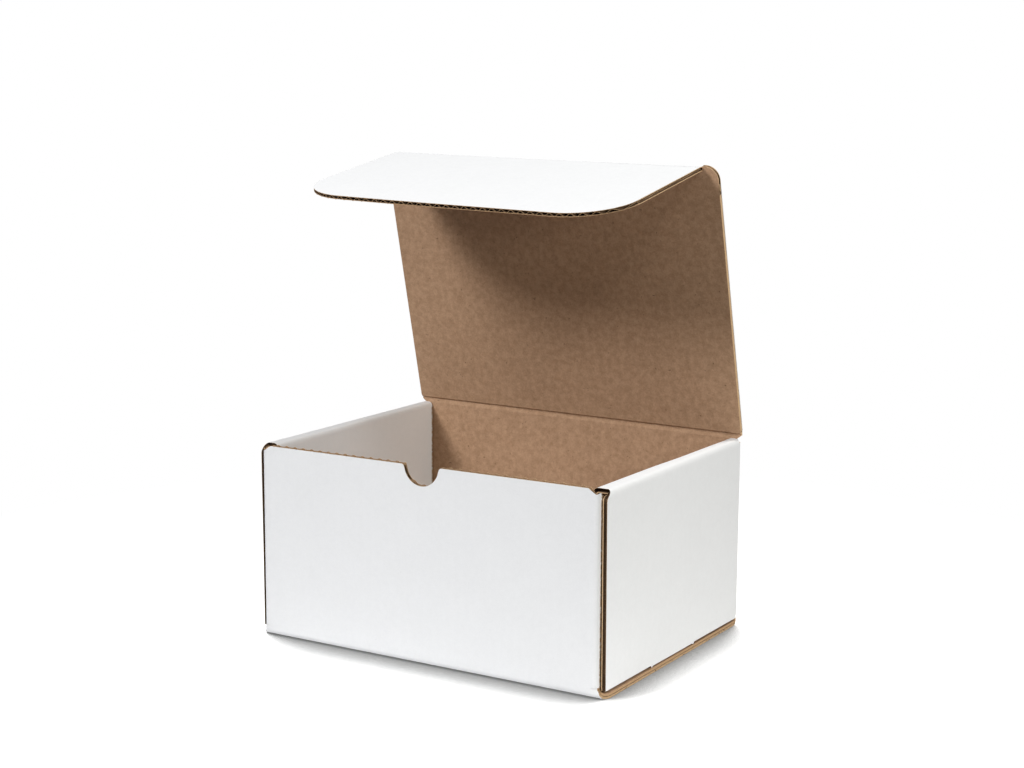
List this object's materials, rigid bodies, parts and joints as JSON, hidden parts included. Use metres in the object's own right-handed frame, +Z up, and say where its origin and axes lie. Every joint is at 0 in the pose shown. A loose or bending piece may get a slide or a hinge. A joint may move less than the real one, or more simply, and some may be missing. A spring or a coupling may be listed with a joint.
{
  "type": "corrugated mailer box",
  "caption": "Folding corrugated mailer box, white outside and brown inside, standing open with its hinged lid up and the lid's tuck flap reaching forward.",
  "frame": {"origin": "middle of the floor's underside", "axes": "+X to the right seen from the front, -Y towards the front wall with the thumb notch, +Z up"},
  "size_m": [0.251, 0.185, 0.3006],
  "materials": {
    "board": "matte"
  },
  "bodies": {
    "box": {"tray": "board"},
    "lid_leaf": {"lid": "board"},
    "flap_leaf": {"tuck_flap": "board"}
  },
  "joints": [
    {"name": "lid_hinge", "type": "hinge", "parent": "box", "child": "lid_leaf", "pos_m": [0, 0.091, 0.12535], "axis": [1, 0, 0], "range_deg": [-103.73, 76.27]},
    {"name": "tuck_fold", "type": "hinge", "parent": "lid_leaf", "child": "flap_leaf", "pos_m": [0, 0.04863, 0.29875], "axis": [1, 0, 0], "range_deg": [-70, 51]}
  ],
  "couplings": [
    {"joint": "tuck_fold", "follows": "lid_hinge", "ratio": 0.66}
  ]
}
